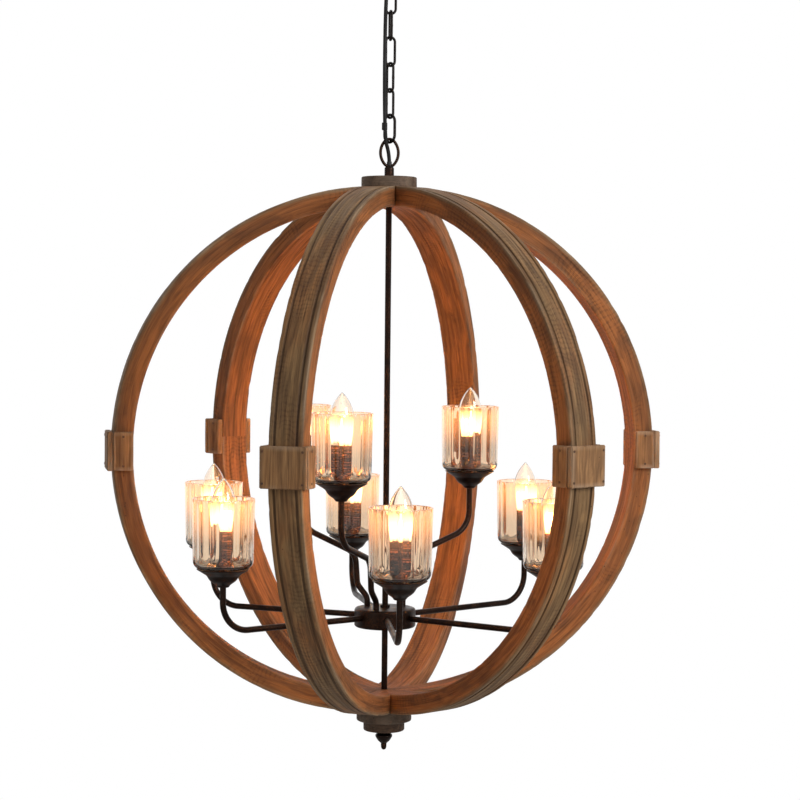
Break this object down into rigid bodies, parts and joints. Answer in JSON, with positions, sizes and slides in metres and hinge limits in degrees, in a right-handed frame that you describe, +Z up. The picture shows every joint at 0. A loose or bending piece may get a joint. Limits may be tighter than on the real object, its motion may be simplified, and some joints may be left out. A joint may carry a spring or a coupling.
{
  "type": "orb chandelier",
  "caption": "Open wooden orb of vertical ribs round a metal rod, with glass-shaded candle lamps on curved arms from a hub, hung on a chain and cord from a ceiling canopy.",
  "frame": {"origin": "on the ceiling, in the middle of the mounting strap's top face, over the centre of the orb", "axes": "+Z up, out of the ceiling side; -Y towards the viewer of the reference view; +X to the right"},
  "size_m": [0.8142, 0.793, 1.1983],
  "materials": {
    "weathered_wood": "weathered, open grain",
    "turned_wood": "weathered, turned",
    "dark_bronze": "satin dark bronze",
    "black_metal": "satin black",
    "plated_steel": "zinc plated",
    "nail_steel": "dark steel",
    "cord_jacket": "matte black jacket",
    "bushing_black": "matte black",
    "socket_black": "matte black",
    "connector_tan": "matte tan",
    "shade_glass": "clear fluted glass",
    "bulb_glass": "clear glass, lit"
  },
  "bodies": {
    "canopy": {"ceiling_canopy": "dark_bronze", "mounting_strap": "plated_steel", "canopy_nipple": "plated_steel", "canopy_loop": "dark_bronze", "supply_cord": "cord_jacket"},
    "link_1": {"chain_link_1": "black_metal"},
    "link_2": {"chain_link_2": "black_metal"},
    "link_3": {"chain_link_3": "black_metal"},
    "link_4": {"chain_link_4": "black_metal"},
    "link_5": {"chain_link_5": "black_metal"},
    "quick_link": {"quick_link": "black_metal"},
    "quick_nut": {"quick_link_nut": "black_metal"},
    "fixture": {"top_loop": "dark_bronze", "top_bushing": "bushing_black", "top_disc": "turned_wood", "bottom_cap": "turned_wood", "finial": "dark_bronze", "centre_rod": "dark_bronze", "hub_body": "dark_bronze", "hub_cover": "dark_bronze", "lock_nuts": "dark_bronze", "wire_connectors": "connector_tan", "rib_1": "weathered_wood", "rib_2": "weathered_wood", "rib_3": "weathered_wood", "rib_4": "weathered_wood", "rib_5": "weathered_wood", "rib_6": "weathered_wood", "equator_cleats": "weathered_wood", "cleat_nails": "nail_steel", "lower_arm_1": "dark_bronze", "lower_arm_2": "dark_bronze", "lower_arm_3": "dark_bronze", "lower_arm_4": "dark_bronze", "lower_arm_5": "dark_bronze", "lower_arm_6": "dark_bronze", "upper_arm_1": "dark_bronze", "upper_arm_2": "dark_bronze", "upper_arm_3": "dark_bronze", "shade_cups": "dark_bronze", "candle_sleeves": "dark_bronze", "lamp_sockets": "socket_black", "shade_1": "shade_glass", "shade_2": "shade_glass", "shade_3": "shade_glass", "shade_4": "shade_glass", "shade_5": "shade_glass", "shade_6": "shade_glass", "shade_7": "shade_glass", "shade_8": "shade_glass", "shade_9": "shade_glass"},
    "bulb_1": {"bulb_1": "bulb_glass"},
    "bulb_2": {"bulb_2": "bulb_glass"},
    "bulb_3": {"bulb_3": "bulb_glass"},
    "bulb_4": {"bulb_4": "bulb_glass"},
    "bulb_5": {"bulb_5": "bulb_glass"},
    "bulb_6": {"bulb_6": "bulb_glass"},
    "bulb_7": {"bulb_7": "bulb_glass"},
    "bulb_8": {"bulb_8": "bulb_glass"},
    "bulb_9": {"bulb_9": "bulb_glass"}
  },
  "joints": [
    {"name": "link_1_swing", "type": "hinge", "parent": "canopy", "child": "link_1", "pos_m": [0, 0, -0.0831], "axis": [0.4695, -0.8829, 0], "range_deg": [-12, 12], "deforming": ["supply_cord"]},
    {"name": "link_2_swing", "type": "hinge", "parent": "link_1", "child": "link_2", "pos_m": [0, 0, -0.1204], "axis": [0.9848, 0.1736, 0], "range_deg": [-12, 12]},
    {"name": "link_3_swing", "type": "hinge", "parent": "link_2", "child": "link_3", "pos_m": [0, 0, -0.158], "axis": [-0.2079, 0.9781, 0], "range_deg": [-12, 12]},
    {"name": "link_4_swing", "type": "hinge", "parent": "link_3", "child": "link_4", "pos_m": [0, 0, -0.1956], "axis": [0.891, 0.454, 0], "range_deg": [-12, 12]},
    {"name": "link_5_swing", "type": "hinge", "parent": "link_4", "child": "link_5", "pos_m": [0, 0, -0.2332], "axis": [-0.6157, 0.788, 0], "range_deg": [-12, 12]},
    {"name": "quick_link_swing", "type": "hinge", "parent": "link_5", "child": "quick_link", "pos_m": [0, 0, -0.2708], "axis": [0.6691, 0.7431, 0], "range_deg": [-12, 12]},
    {"name": "fixture_swing", "type": "hinge", "parent": "quick_link", "child": "fixture", "pos_m": [0, 0, -0.3063], "axis": [0.7071, -0.7071, 0], "range_deg": [-12, 12]},
    {"name": "quick_nut_travel", "type": "slide", "parent": "quick_link", "child": "quick_nut", "axis": [0, 0, -1], "range_m": [0, 0.0078]},
    {"name": "bulb_1_lift", "type": "slide", "parent": "fixture", "child": "bulb_1", "axis": [0, 0, 1], "range_m": [0, 0.025]},
    {"name": "bulb_2_lift", "type": "slide", "parent": "fixture", "child": "bulb_2", "axis": [0, 0, 1], "range_m": [0, 0.025]},
    {"name": "bulb_3_lift", "type": "slide", "parent": "fixture", "child": "bulb_3", "axis": [0, 0, 1], "range_m": [0, 0.025]},
    {"name": "bulb_4_lift", "type": "slide", "parent": "fixture", "child": "bulb_4", "axis": [0, 0, 1], "range_m": [0, 0.025]},
    {"name": "bulb_5_lift", "type": "slide", "parent": "fixture", "child": "bulb_5", "axis": [0, 0, 1], "range_m": [0, 0.025]},
    {"name": "bulb_6_lift", "type": "slide", "parent": "fixture", "child": "bulb_6", "axis": [0, 0, 1], "range_m": [0, 0.025]},
    {"name": "bulb_7_lift", "type": "slide", "parent": "fixture", "child": "bulb_7", "axis": [0, 0, 1], "range_m": [0, 0.025]},
    {"name": "bulb_8_lift", "type": "slide", "parent": "fixture", "child": "bulb_8", "axis": [0, 0, 1], "range_m": [0, 0.025]},
    {"name": "bulb_9_lift", "type": "slide", "parent": "fixture", "child": "bulb_9", "axis": [0, 0, 1], "range_m": [0, 0.025]}
  ]
}
